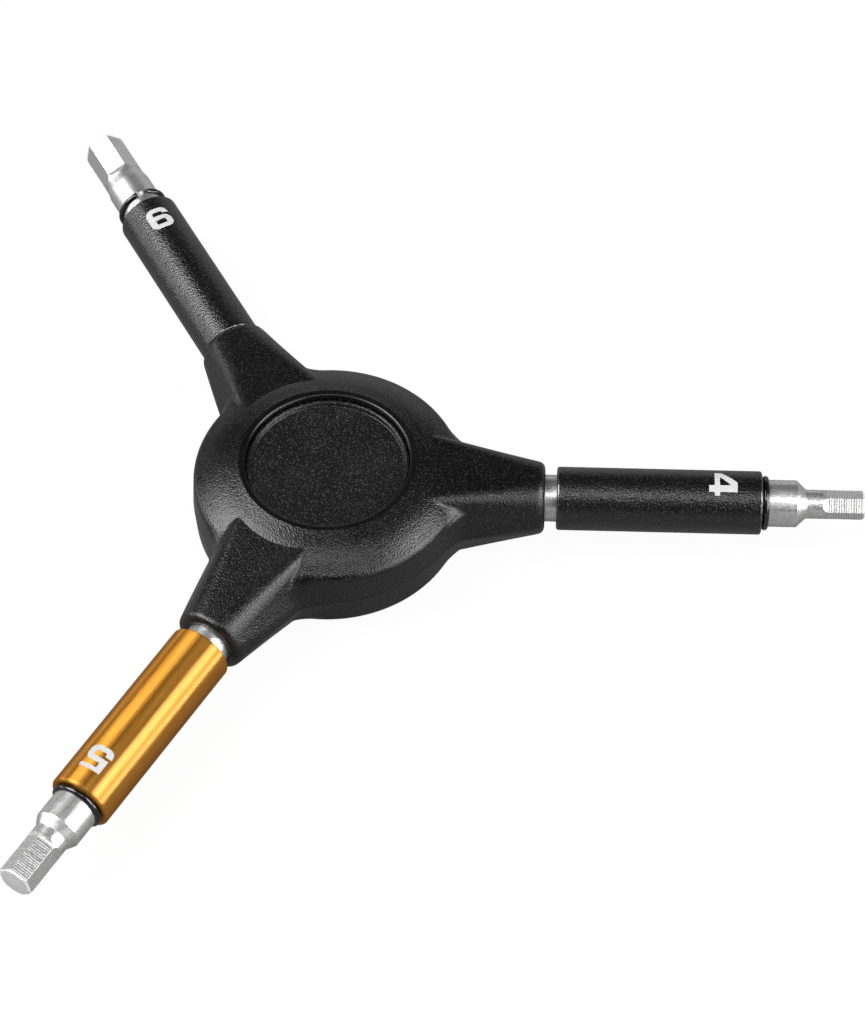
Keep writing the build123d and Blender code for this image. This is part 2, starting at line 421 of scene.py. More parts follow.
class MaterialNodes(NodeTree):
    """The nodes of one material, round its Principled shader."""

    def __init__(self, name: str) -> None:
        """Starts the material, with Object coordinates.

        Args:
            name: The material's name.
        """
        self.material = bpy.data.materials.new(name)
        self.material.use_nodes = True
        super().__init__(self.material.node_tree)
        self.shader = self.tree.nodes["Principled BSDF"]
        self.place = self.add("ShaderNodeTexCoord").outputs["Object"]

    def turned_place(self, arm: Arm, scale: Vector = (1.0, 1.0, 1.0)) -> Socket:
        """Object coordinates turned so that X runs along an arm, with its axis at height 0.

        Args:
            arm: The arm.
            scale: Factor along each turned axis: a small one draws a pattern out.

        Returns:
            The coordinates.
        """
        steps = {"Rotation": (0, 0, -arm.direction), "Location": (0, 0, -ARM_HEIGHT * MM), "Scale": scale}
        place = self.place
        for name, value in steps.items():
            place = self.add("ShaderNodeMapping", {"Vector": place, name: value}).outputs[0]
        return place

    def noise(self, size: float, detail: float = 2.0, vector: Socket | None = None) -> Socket:
        """Cloudy pattern between 0 and 1 whose blots are of a size in millimetres."""
        values = {"Vector": vector or self.place, "Scale": 1 / (size * MM), "Detail": detail}
        return self.add("ShaderNodeTexNoise", values).outputs["Fac"]

    def blend(self, factor: Socket, first: Colour | Socket, second: Colour | Socket) -> Socket:
        """Mixes two colours.

        Args:
            factor: Share of the second colour.
            first: Colour where the factor is 0.
            second: Colour where it is 1.

        Returns:
            The mixed colour.
        """
        node = self.add("ShaderNodeMix", data_type="RGBA")
        self.put(node.inputs["Factor"], factor)
        ends = [socket for socket in node.inputs if socket.type == "RGBA"]
        for socket, colour in zip(ends, (first, second)):
            self.put(socket, colour if isinstance(colour, Socket) else (*colour, 1.0))
        return next(socket for socket in node.outputs if socket.type == "RGBA")

    def mark(self) -> Socket:
        """The number kept with the mesh's points."""
        return self.add("ShaderNodeAttribute", attribute_name="mark").outputs["Fac"]

    def along_piece(self) -> Socket:
        """Direction along the piece, by the flow that its mesh keeps."""
        return self.add("ShaderNodeTangent", direction_type="UV_MAP", uv_map="flow").outputs["Tangent"]

    def bump(
        self, height: Socket, depth: float, strength: object = 1.0, under: Socket | None = None
    ) -> Socket:
        """Turns a height between 0 and 1 into relief.

        Args:
            height: The height pattern.
            depth: Its depth.
            strength: Share of the relief that shows.
            under: Normal of a coarser relief that this one lies on, or None.

        Returns:
            The normal.
        """
        values = {"Height": height, "Distance": depth * MM, "Strength": strength}
        if under is not None:
            values["Normal"] = under
        return self.add("ShaderNodeBump", values).outputs["Normal"]

    def finish(self, **inputs: object) -> Material:
        """Fills the shader's inputs.

        Args:
            inputs: Sockets, numbers or colours by the input's name, with underscores for spaces.

        Returns:
            The material.
        """
        for name, value in inputs.items():
            filling = (*value, 1.0) if isinstance(value, tuple) else value
            self.put(self.shader.inputs[name.replace("_", " ")], filling)
        return self.material


def in_metres(span: Span) -> Span:
    """A span in metres."""
    return span[0] * MM, span[1] * MM


@dataclass(frozen=True)
class GrainedNylon:
    """Moulded black nylon with a fine leathery grain, smoother on a polished band round the rim.

    Grain and pores are two noises in relief, and the grain's peaks are painted paler, as painted glints.
    A wide noise varies the gloss. The relief fades on the band, where the colour is painted darker as
    painted shade, and the line where the shells part is matt.
    """

    name: str = "hub_nylon"
    dark: Colour = (0.001, 0.001, 0.001)
    # light: the paler colour painted on the grain's peaks, as painted glints
    light: Colour = (0.03, 0.03, 0.0305)
    glint_peaks: Span = (0.6, 0.8)
    grain_size: float = 0.24
    grain_depth: float = 0.05
    pore_size: float = 0.408
    pore_depth: float = 0.0125
    blot_size: float = 5.28
    roughness: Span = (0.25, 0.32)
    specular_level: float = 0.56
    band_inside: Span = (12.95, 13.07)
    band_outside: Span = (13.83, 13.95)
    band_relief: float = 0.25
    # share by which the polished band is painted darker, as painted shade
    band_painted_shade: float = 0.8
    seam_reach: Span = (0.07, 0.14)

    def material(self) -> Material:
        """Builds the material.

        Returns:
            The material.
        """
        nodes = MaterialNodes(self.name)
        grain = nodes.noise(self.grain_size, detail=0.0)
        pores = nodes.noise(self.pore_size, detail=0.0)
        apart = nodes.add("ShaderNodeSeparateXYZ", {0: nodes.place}).outputs
        flat = nodes.add("ShaderNodeCombineXYZ", {0: apart[0], 1: apart[1]}).outputs[0]
        radius = nodes.add("ShaderNodeVectorMath", {0: flat}, operation="LENGTH").outputs["Value"]
        inside = nodes.ramp(radius, in_metres(self.band_inside))
        outside = nodes.ramp(radius, in_metres(self.band_outside), FALLING)
        band = nodes.maths("MULTIPLY", inside, outside)
        share = nodes.ramp(band, RISING, (1.0, self.band_relief))
        coarse = nodes.bump(grain, self.grain_depth, share)
        normal = nodes.bump(pores, self.pore_depth, share, coarse)
        # the grain's peaks are painted paler, as painted glints
        grain_and_glint_tone = nodes.blend(nodes.ramp(grain, self.glint_peaks), self.dark, self.light)
        # on the polished band the colour is painted darker, as painted shade, which also drops most painted
        # glints
        colour = nodes.blend(nodes.ramp(band, RISING, (0.0, self.band_painted_shade)), grain_and_glint_tone, self.dark)
        gloss = nodes.ramp(nodes.noise(self.blot_size, detail=3.0), MIDDLE, self.roughness)
        height = nodes.maths("ABSOLUTE", nodes.maths("SUBTRACT", apart[2], ARM_HEIGHT * MM))
        rough = nodes.maths("MAXIMUM", gloss, nodes.ramp(height, in_metres(self.seam_reach), FALLING))
        nodes.finish(Specular_IOR_Level=self.specular_level)
        return nodes.finish(Base_Color=colour, Roughness=rough, Normal=normal)


@dataclass(frozen=True)
class EtchedNylon:
    """Black nylon with a very fine spark-eroded grain and a few pale specks, by two noises: the grain's pale
    peaks and the specks are painted glints.
    """

    name: str = "disc_nylon"
    dark: Colour = (0.004, 0.004, 0.004)
    # light and speck: paler colours painted on the grain's peaks and on specks, as painted glints
    light: Colour = (0.06, 0.06, 0.061)
    glint_speck: Colour = (0.05, 0.05, 0.051)
    glint_peaks: Span = (0.58, 0.82)
    grain_size: float = 0.22
    grain_depth: float = 0.045
    glint_speck_size: float = 0.396
    glint_speck_peaks: Span = (0.7, 0.78)
    blot_size: float = 6.0
    roughness: Span = (0.26, 0.34)
    specular_level: float = 0.62

    def material(self) -> Material:
        """Builds the material.

        Returns:
            The material.
        """
        nodes = MaterialNodes(self.name)
        grain = nodes.noise(self.grain_size, detail=0.0)
        # pale specks painted in, as painted glints
        glint_specks = nodes.ramp(nodes.noise(self.glint_speck_size, detail=1.0), self.glint_speck_peaks)
        # the grain's peaks are painted paler, as painted glints
        grain_and_glint_tone = nodes.blend(nodes.ramp(grain, self.glint_peaks), self.dark, self.light)
        colour = nodes.blend(glint_specks, grain_and_glint_tone, self.glint_speck)
        rough = nodes.ramp(nodes.noise(self.blot_size), MIDDLE, self.roughness)
        nodes.finish(Specular_IOR_Level=self.specular_level)
        return nodes.finish(Base_Color=colour, Roughness=rough, Normal=nodes.bump(grain, self.grain_depth))


@dataclass(frozen=True)
class SandedCoat:
    """Black sand-textured coating on aluminium, worn through to bare metal along the end edges.

    The grain is one noise in relief, with its peaks painted paler as painted glints. Bare metal shows
    where the mesh's mark and a second, broken noise meet.
    """

    name: str = "black_coat"
    dark: Colour = (0.001, 0.001, 0.001)
    # light: the paler colour painted on the grain's peaks, as painted glints
    light: Colour = (0.045, 0.045, 0.046)
    bare: Colour = (0.22, 0.22, 0.222)
    glint_peaks: Span = (0.64, 0.85)
    grain_size: float = 0.26
    grain_depth: float = 0.068
    roughness: float = 0.28
    specular_level: float = 0.8
    anisotropy: float = 0.15
    break_size: float = 0.55
    breaks: Span = (0.42, 0.5)
    worn_marks: Span = (0.55, 0.9)
    bare_relief: float = 0.1
    bare_roughness: float = 0.25

    def material(self) -> Material:
        """Builds the material.

        Returns:
            The material.
        """
        nodes = MaterialNodes(self.name)
        grain = nodes.noise(self.grain_size, detail=0.0)
        # the grain's peaks are painted paler, as painted glints
        grain_and_glint_tone = nodes.blend(nodes.ramp(grain, self.glint_peaks), self.dark, self.light)
        breaks = nodes.ramp(nodes.noise(self.break_size, detail=3.0), self.breaks)
        worn = nodes.maths("MULTIPLY", nodes.ramp(nodes.mark(), self.worn_marks), breaks)
        colour = nodes.blend(worn, grain_and_glint_tone, self.bare)
        normal = nodes.bump(grain, self.grain_depth, nodes.ramp(worn, RISING, (1.0, self.bare_relief)))
        rough = nodes.ramp(worn, RISING, (self.roughness, self.bare_roughness))
        nodes.finish(Specular_IOR_Level=self.specular_level, Anisotropic=self.anisotropy)
        nodes.finish(Base_Color=colour, Metallic=worn, Roughness=rough, Normal=normal)
        return nodes.finish(Tangent=nodes.along_piece())


@dataclass(frozen=True)
class GoldAnodised:
    """Gold anodised aluminium, turned and then brushed along the sleeve.

    Brushing and turning are the same fine noise, drawn out along the arm and round it.
    """

    arm: Arm
    name: str = "gold_anodised"
    deep: Colour = (0.56, 0.2, 0.02)
    bright: Colour = (0.82, 0.4, 0.06)
    edge: Colour = (0.7, 0.4, 0.2)
    metallic: float = 0.94
    roughness: Span = (0.37, 0.44)
    anisotropy: float = 0.95
    coat_weight: float = 0.34
    coat_roughness: float = 0.25
    line_size: float = 0.12
    line_tones: Span = (0.25, 0.75)
    brushed_stretch: Vector = (0.012, 1.0, 1.0)
    brushed_depth: float = 0.004
    turned_stretch: Vector = (1.0, 0.02, 0.02)
    turned_depth: float = 0.004 / 3

    def material(self) -> Material:
        """Builds the material.

        Returns:
            The material.
        """
        nodes = MaterialNodes(self.name)
        lengthwise = nodes.turned_place(self.arm, self.brushed_stretch)
        brushed = nodes.noise(self.line_size, detail=3.0, vector=lengthwise)
        turned = nodes.noise(self.line_size, vector=nodes.turned_place(self.arm, self.turned_stretch))
        colour = nodes.blend(nodes.ramp(brushed, self.line_tones), self.deep, self.bright)
        coarse = nodes.bump(brushed, self.brushed_depth)
        normal = nodes.bump(turned, self.turned_depth, 1.0, coarse)
        rough = nodes.ramp(brushed, MIDDLE, self.roughness)
        nodes.finish(Specular_Tint=self.edge, Metallic=self.metallic, Anisotropic=self.anisotropy)
        nodes.finish(Coat_Weight=self.coat_weight, Coat_Roughness=self.coat_roughness)
        return nodes.finish(Base_Color=colour, Roughness=rough, Normal=normal, Tangent=nodes.along_piece())


@dataclass(frozen=True)
class PlatedSteel:
    """Satin plated steel with soft blotches and fine turning lines round the bar.

    The mesh's mark tells the milled flats, which have dark cutter lines, and the faced end, which
    is duller. A cutter line is the upper part of a sine along the arm, swayed and broken by noises.
    """

    arm: Arm
    name: str = "plated_steel"
    shade: Colour = (0.6, 0.6, 0.597)
    pale: Colour = (0.85, 0.85, 0.845)
    face: Colour = (0.92, 0.92, 0.915)
    cut: Colour = (0.58, 0.58, 0.58)
    metallic: float = 0.96
    face_metallic: float = 0.45
    roughness: Span = (0.32, 0.46)
    face_roughness: float = 0.2
    anisotropy: float = 0.4
    blot_size: float = 0.35
    turned_size: float = 0.16
    turned_stretch: Vector = (1.0, 0.04, 0.04)
    turned_depth: float = 0.012
    pit_size: float = 0.22
    pit_depth: float = 0.012
    pit_share: float = 0.8
    mill_pitch: float = 0.39
    mill_wave: Span = (-0.5, 0.8)
    sway_size: float = 0.7
    sway: float = 0.3
    break_size: float = 0.45
    breaks: Span = (0.3, 0.6)
    break_shares: Span = (0.5, 1.0)
    flat_marks: Span = (0.6, 0.9)
    face_marks: Span = (1.2, 2.0)

    def cutter_lines(self, nodes: MaterialNodes) -> Socket:
        """Pattern of the cutter's lines across the arm.

        Args:
            nodes: The material's nodes.

        Returns:
            1 on a line and 0 between two.
        """
        place = nodes.turned_place(self.arm)
        along = nodes.add("ShaderNodeSeparateXYZ", {0: place}).outputs[0]
        turns = nodes.maths("DIVIDE", along, self.mill_pitch * MM)
        sway = nodes.maths("MULTIPLY", nodes.noise(self.sway_size), self.sway)
        phase = nodes.maths("MULTIPLY", nodes.maths("ADD", turns, sway), 2 * math.pi)
        wave = nodes.ramp(nodes.maths("SINE", phase), self.mill_wave)
        breaks = nodes.ramp(nodes.noise(self.break_size), self.breaks, self.break_shares)
        return nodes.maths("MULTIPLY", wave, breaks)

    def material(self) -> Material:
        """Builds the material.

        Returns:
            The material.
        """
        nodes = MaterialNodes(f"{self.name}_{round(self.arm.bearing)}")
        turned = nodes.noise(self.turned_size, vector=nodes.turned_place(self.arm, self.turned_stretch))
        blots = nodes.noise(self.blot_size, detail=3.0)
        pits = nodes.noise(self.pit_size, detail=0.0)
        on_flats = nodes.ramp(nodes.mark(), self.flat_marks)
        faced = nodes.ramp(nodes.mark(), self.face_marks)
        milled = nodes.maths("MULTIPLY", self.cutter_lines(nodes), nodes.maths("SUBTRACT", on_flats, faced))
        plain = nodes.blend(nodes.ramp(blots, MIDDLE), self.shade, self.pale)
        colour = nodes.blend(milled, nodes.blend(on_flats, plain, self.face), self.cut)
        coarse = nodes.bump(turned, self.turned_depth)
        normal = nodes.bump(pits, self.pit_depth, self.pit_share, coarse)
        satin = nodes.ramp(pits, MIDDLE, self.roughness)
        rough = nodes.maths("ADD", satin, nodes.maths("MULTIPLY", faced, self.face_roughness))
        metallic = nodes.ramp(faced, RISING, (self.metallic, self.face_metallic))
        nodes.finish(Base_Color=colour, Metallic=metallic, Roughness=rough, Normal=normal)
        return nodes.finish(Anisotropic=self.anisotropy, Tangent=nodes.along_piece())


@dataclass(frozen=True)
class PlainFinish:
    """Finish of one colour with a faint mottle, such as wire, print, screws and liners."""

    name: str
    dark: Colour
    light: Colour
    roughness: float
    metallic: float = 0.0
    mottle_size: float = 0.3
    relief: float = 0.004
    sway: float = 0.15

    def material(self) -> Material:
        """Builds the material.

        Returns:
            The material.
        """
        nodes = MaterialNodes(self.name)
        mottle = nodes.noise(self.mottle_size, detail=3.0)
        colour = nodes.blend(nodes.ramp(mottle, MIDDLE), self.dark, self.light)
        rough_span = (self.roughness * (1 - self.sway), self.roughness * (1 + self.sway))
        rough = nodes.ramp(mottle, MIDDLE, rough_span)
        normal = nodes.bump(mottle, self.relief)
        return nodes.finish(Base_Color=colour, Metallic=self.metallic, Roughness=rough, Normal=normal)


WIRE = PlainFinish("spring_wire", (0.06, 0.06, 0.062), (0.1, 0.1, 0.102), 0.18, metallic=1.0)
PRINT = PlainFinish("size_print", (0.5, 0.5, 0.5), (0.58, 0.58, 0.58), 0.55)
LINER = PlainFinish("liner_acetal", (0.72, 0.71, 0.66), (0.82, 0.81, 0.77), 0.45)
SCREW = PlainFinish("screw_steel", (0.38, 0.38, 0.38), (0.6, 0.6, 0.59), 0.35, metallic=1.0)


def dress(
    piece: bpy.types.Object, material: Material, body: str, node: str | None = None
) -> None:
    """Gives a piece its material and body, and hides the node that it stands for.

    Args:
        piece: The finished piece.
        material: Its material.
        body: The body that it rides on.
        node: The node that it replaces, or None for an added piece.
    """
    piece.data.materials.append(material)
    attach(piece, body)
    if node is not None:
        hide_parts(node)
    LOG.info("%s rides on %s: %d faces", piece.name, body, len(piece.data.polygons))


def smooth_max(first: Array, second: Array, width: Array | float) -> Array:
    """The larger of two fields, with the crease between them rounded off.

    Where the two are closer than the width, a quarter of the width times the square of
    how much closer they are, as a share of the width, is added to the larger one.

    Args:
        first: One field.
        second: The other field.
        width: The width of the rounding.

    Returns:
        The joined field.
    """
    closeness = np.maximum(width - np.abs(first - second), 0.0) / width
    return np.maximum(first, second) + closeness**2 * width / 4


def rounding_width(radius: Array | float, turn: Array | float) -> Array | float:
    """Width for smooth_max that rounds a corner to about a radius, by its turn's sine and half tangent."""
    return radius * np.tan(turn / 2) * np.sin(turn)


@dataclass
class HubShells:
    """The moulded hub: a crowned disc run together with three six-sided noses, in two shells.

    The form is a field, negative inside. The disc is the smooth largest of its wall, shoulder,
    crown and top planes. A nose is the smooth largest of its sides, facet and end. The disc runs
    out to a slightly smaller nose by a smooth smallest, as a gusset that fades towards the crown,
    and meets the nose itself in a crisp corner. Each point of a shell is where a ray from the
    hub's centre, at two angles, leaves the form. The margins and the root's angles say where rows
    and columns lie close together.
    """

    wall_radius: float = 21.4
    wall_draft: float = 0.3
    shoulder_height: float = 5.2
    shoulder_width: float = 3.5
    shoulder_rounding: float = 1.6
    crown_height: float = 7.4
    crown_width: float = 3.7
    crown_rounding: float = 16.0
    half_height: float = 8.6
    rim_rounding: float = 1.5
    nose_root: float = 15.5
    nose_end: float = 34.1
    root_half_width: float = 9.7
    end_half_width: float = 6.35
    root_facet_half_width: float = 6.9
    end_facet_half_width: float = 3.2
    root_half_height: float = 7.6
    end_half_height: float = 5.45
    root_corner_radius: float = 1.9
    end_corner_radius: float = 5.0
    end_rounding: float = 1.1
    gusset_inset: float = 0.8
    gusset_blend: float = 4.6
    junction_blend: float = 0.25
    crown_blend: float = 0.03
    crown_blend_reach: float = 0.6
    seam_depth: float = 0.09
    bore_radius: float = 3.95
    bore_depth: float = 0.22
    bevel_width: float = 1.0
    bevel_depth: float = 0.06
    recess_depth: float = 2.85
    crest_rounding: float = 0.3
    edge_rounding: float = 0.42
    foot_rounding: float = 0.1
    cast_radius: float = 14.4
    arms: int = 3
    nose_shares: Span = (-0.6, 1.1)
    gusset_fade_share: float = 0.8
    junction_fade: float = 0.4
    bearing_margins: Span = (0.9, 0.8)
    root_bearings: Span = (19.5, 30.0)
    bearing_steps: tuple[int, ...] = (20, 15, 28, 30, 17)
    elevation_margins: Span = (0.9, 0.7)
    crown_margins: Span = (1.0, 2.0)
    root_elevation: float = 15.0
    elevation_steps: tuple[int, ...] = (3, 3, 14, 14, 30, 26, 12, 11)
    tangent_step: float = 0.004
    halvings: int = 34

    @property
    def shoulder_radius(self) -> float:
        """Radius where the wall meets the shoulder."""
        return self.wall_radius - self.wall_draft

    @property
    def crown_radius(self) -> float:
        """Radius where the shoulder meets the crown."""
        return self.shoulder_radius - self.shoulder_width

    @property
    def rim_radius(self) -> float:
        """Radius of the crest round the recess."""
        return self.crown_radius - self.crown_width

    @property
    def cast_height(self) -> float:
        """Height of the crown where the rays stop and the turned recess takes over."""
        slope = (self.half_height - self.crown_height) / self.crown_width
        return self.half_height - (self.cast_radius - self.rim_radius) * slope

    def disc_field(self, radius: Array, height: Array) -> Array:
        """Field of the crowned disc: the smooth largest of four planes turned about the axis.

        A plane holds one side of the disc's outline, and its field is the distance from it.

        Args:
            radius: Distance from the hub's axis.
            height: Height from the arms' plane, without its sign.

        Returns:
            The field, negative inside the disc.
        """
        outline = [
            (self.wall_radius, 0.0),
            (self.shoulder_radius, self.shoulder_height),
            (self.crown_radius, self.crown_height),
            (self.rim_radius, self.half_height),
            (0.0, self.half_height),
        ]
        roundings = [self.shoulder_rounding, self.crown_rounding, self.rim_rounding]
        value, last_lean = None, 0.0
        for index, (start, end) in enumerate(zip(outline, outline[1:])):
            lean = math.atan2(start[0] - end[0], end[1] - start[1])
            plane = (radius - start[0]) * math.cos(lean) + (height - start[1]) * math.sin(lean)
            if value is None:
                value = plane
            else:
                value = smooth_max(value, plane, rounding_width(roundings[index - 1], lean - last_lean))
            last_lean = lean
        return value

    def nose_field(self, along: Array, across: Array, height: Array) -> Array:
        """Field of one nose: the smooth largest of two sides, the facet and the end.

        Each size of the nose's section changes evenly from its root to its end.

        Args:
            along: Distance along the nose's arm.
            across: Distance across it.
            height: Height from the arms' plane, without its sign.

        Returns:
            The field, negative inside the nose.
        """
        share = np.clip((along - self.nose_root) / (self.nose_end - self.nose_root), *self.nose_shares)
        tapers = (
            (self.root_half_width, self.end_half_width),
            (self.root_facet_half_width, self.end_facet_half_width),
            (self.root_half_height, self.end_half_height),
            (self.root_corner_radius, self.end_corner_radius),
        )
        half_width, facet, half_height, corner = (root + (end - root) * share for root, end in tapers)
        corner = np.maximum(corner, self.root_corner_radius)
        lean = np.arctan2(half_width - facet, half_height)
        outward = (np.abs(across) - half_width) * np.cos(lean)
        upper = outward + height * np.sin(lean)
        lower = outward - height * np.sin(lean)
        sides = smooth_max(upper, lower, rounding_width(corner, 2 * lean))
        section = smooth_max(sides, height - half_height, rounding_width(corner, math.pi / 2 - lean))
        return smooth_max(section, along - self.nose_end, self.end_rounding)

    def field(self, points: Array) -> Array:
        """Field of the whole hub, with the seam and the countersinks round the shanks.

        A point is first turned into the sector of the nearest arm. Within the seam's depth of the
        parting plane the field rises by what is left of that depth. A countersink takes away a
        cone of 45 degrees that ends in a flat floor.

        Args:
            points: Array whose last axis is a point about the hub's centre.

        Returns:
            The field's value at each point, negative inside the hub.
        """
        height = np.abs(points[..., 2])
        radius = np.hypot(points[..., 0], points[..., 1])
        angle = np.arctan2(points[..., 1], points[..., 0])
        sector = 2 * math.pi / self.arms
        folded = angle - sector * np.round(angle / sector)
        along = radius * np.cos(folded)
        across = radius * np.sin(folded)
        crown_foot = self.crown_height - self.crown_blend_reach
        fade = [self.shoulder_height * self.gusset_fade_share, crown_foot]
        gusset_blend = np.interp(height, fade, [self.gusset_blend, self.crown_blend])
        fade = [crown_foot, crown_foot + self.junction_fade]
        blend = np.interp(height, fade, [self.junction_blend, self.crown_blend])
        disc = self.disc_field(radius, height)
        nose = self.nose_field(along, across, height)
        gusset = -smooth_max(-disc, -nose - self.gusset_inset, gusset_blend)
        value = -smooth_max(-gusset, -nose, blend)
        value = value + self.seam_depth * np.clip(1 - height / self.seam_depth, 0, 1)
        floor = self.nose_end - self.bore_depth
        cone = self.bore_radius + along - floor - np.hypot(across, height)
        return np.maximum(value, np.minimum(cone * math.sqrt(0.5), along - floor))

    def cast(self, bearings: Array, elevations: Array) -> Array:
        """Points where rays from the hub's centre leave the form, found by halving.

        Args:
            bearings: Angles round the hub, one for each column.
            elevations: Angles above the arms' plane, one for each row.

        Returns:
            Grid of points, rows by columns by three.
        """
        bearing, elevation = np.meshgrid(bearings, elevations)
        flat = np.cos(elevation)
        rays = np.stack([flat * np.cos(bearing), flat * np.sin(bearing), np.sin(elevation)], axis=-1)
        near = np.full(bearing.shape, self.rim_radius / 2)
        far = np.full(bearing.shape, self.nose_end + self.wall_radius)
        for _ in range(self.halvings):
            middle = (near + far) / 2
            inside = self.field(rays * middle[..., None]) < 0
            near = np.where(inside, middle, near)
            far = np.where(inside, far, middle)
        return rays * far[..., None]

    def field_normals(self, points: Array) -> Array:
        """Outward normals: the field's slope by small steps along each axis, made of length one.

        Args:
            points: Points about the hub's centre.

        Returns:
            A normal for each point.
        """
        steps = np.eye(3) * self.tangent_step
        slope = np.stack([self.field(points + step) - self.field(points - step) for step in steps], axis=-1)
        return slope / np.linalg.norm(slope, axis=-1, keepdims=True)

    def bearings(self) -> Array:
        """Angles of the columns, close together at the noses' ends and edges.

        Half an arm's share of the turn is laid out in spans, mirrored and repeated for each arm.

        Returns:
            Rising angles, in radians.
        """
        end = math.degrees(math.atan2(self.end_half_width, self.nose_end))
        before, after = end - self.bearing_margins[0], end + self.bearing_margins[1]
        root, clear = self.root_bearings
        step = 360 / self.arms
        half = spaced([0.0, before, after, root, clear, step / 2], self.bearing_steps)
        sector = np.concatenate([-half[::-1], half[1:-1]])
        return np.radians(np.concatenate([sector + step * index for index in range(self.arms)]))

    def elevations(self) -> Array:
        """Angles of the rows, from the seam to the crown near the rim.

        Returns:
            Rising angles, in radians.
        """
        seam = math.degrees(self.seam_depth / self.wall_radius)
        end = math.degrees(math.atan2(self.end_half_height, self.nose_end))
        before, after = end - self.elevation_margins[0], end + self.elevation_margins[1]
        crown = math.degrees(math.atan2(self.crown_height, self.crown_radius))
        below, above = crown - self.crown_margins[0], crown + self.crown_margins[1]
        top = math.degrees(math.atan2(self.cast_height, self.cast_radius))
        stops = [0.0, seam, 3 * seam, before, after, self.root_elevation, below, above, top]
        return np.radians(spaced(stops, self.elevation_steps))

    def recess_profile(self) -> Array:
        """Outline of the rim, its bevel and the recess down to the disc's seat.

        Returns:
            Points (radius, height), towards the axis.
        """
        recess_radius = self.rim_radius - self.bevel_width
        seat = self.half_height - self.recess_depth
        corners = [
            (self.cast_radius, self.cast_height),
            (self.rim_radius, self.half_height),
            (recess_radius, self.half_height - self.bevel_depth),
            (recess_radius, seat),
            (0.0, seat),
        ]
        radii = [0.0, self.crest_rounding, self.edge_rounding, self.foot_rounding, 0.0]
        return rounded_outline(corners, radii)[1:-1]

    def underside_profile(self) -> Array:
        """Outline of the flat underside's edge.

        Returns:
            Points (radius, height) towards the axis, with heights still positive.
        """
        corners = [
            (self.cast_radius, self.cast_height),
            (self.rim_radius, self.half_height),
            (0.0, self.half_height),
        ]
        return rounded_outline(corners, [0.0, self.rim_rounding, 0.0])[1:-1]

    def shell(self, name: str, profile: Array, side: float) -> bpy.types.Object:
        """One shell: rays from the parting face to the crown, then the turned profile.

        On the profile a normal is square to the run from the point before to the point after.

        Args:
            name: The piece's name.
            profile: Points (radius, height) that carry on from the last row of rays.
            side: 1 for the upper shell and -1 for the lower one.

        Returns:
            The shell's object.
        """
        bearings = self.bearings()
        cast = self.cast(bearings, self.elevations())
        turned = turned_about_z(profile, bearings)
        first, last = [self.cast_radius, self.cast_height], [0.0, profile[-1, 1]]
        run = np.gradient(np.vstack([first, profile, last]), axis=0)[1:-1]
        lean = np.stack([run[:, 1], -run[:, 0]], axis=-1)
        lean /= np.linalg.norm(lean, axis=-1, keepdims=True)
        normals = np.concatenate([self.field_normals(cast), turned_about_z(lean, bearings)])
        points = np.concatenate([cast, turned])
        mirror = np.array([1.0, 1.0, side])
        builder = MeshBuilder()
        numbers = builder.add_grid(lifted(points * mirror), False, True)
        builder.close_start(numbers[0], lifted(np.zeros(3)))
        builder.close_end(numbers[-1], lifted(np.array([0.0, 0.0, profile[-1, 1] * side])))
        poles = np.array([[0.0, 0.0, -side], [0.0, 0.0, side]])
        every_normal = np.concatenate([(normals * mirror).reshape(-1, 3), poles])
        return builder.build(name, normals=every_normal)

    def build(self) -> None:
        """Makes both shells in the place of their nodes."""
        material = GrainedNylon().material()
        upper = self.shell("hub_upper_shell", self.recess_profile(), 1.0)
        dress(upper, material, "hub", "upper_shell")
        lower = self.shell("hub_lower_shell", self.underside_profile(), -1.0)
        dress(lower, material, "hub", "lower_shell")


@dataclass
class CentreDisc:
    """The bare disc in the hub's recess, with a raised bead round its edge."""

    seat_height: float = 5.75
    edge_radius: float = 12.8
    thickness: float = 1.2
    bead_height: float = 0.65
    bead_width: float = 0.55
    slope_width: float = 0.3
    bead_rounding: float = 0.26
    foot_rounding: float = 0.12
    columns: int = 360
    sharp_angle: float = 50.0

    def build(self) -> None:
        """Makes the disc in the place of its node."""
        floor = self.seat_height + self.thickness
        top = floor + self.bead_height
        inner = self.edge_radius - self.bead_width
        corners = [
            (self.edge_radius / 2, self.seat_height),
            (self.edge_radius, self.seat_height),
            (self.edge_radius, top),
            (inner, top),
            (inner - self.slope_width, floor),
            (self.edge_radius / 2, floor),
        ]
        radii = [0, 0, self.bead_rounding, self.bead_rounding, self.foot_rounding, 0]
        profile = rounded_outline(corners, radii)
        builder = MeshBuilder()
        numbers = builder.add_grid(lifted(turned_about_z(profile, full_turn(self.columns))), False, True)
        builder.close_start(numbers[0], lifted(np.array([0.0, 0.0, self.seat_height])))
        builder.close_end(numbers[-1], lifted(np.array([0.0, 0.0, floor])))
        disc = builder.build("hub_centre_disc", self.sharp_angle)
        dress(disc, EtchedNylon().material(), "hub", "centre_disc")


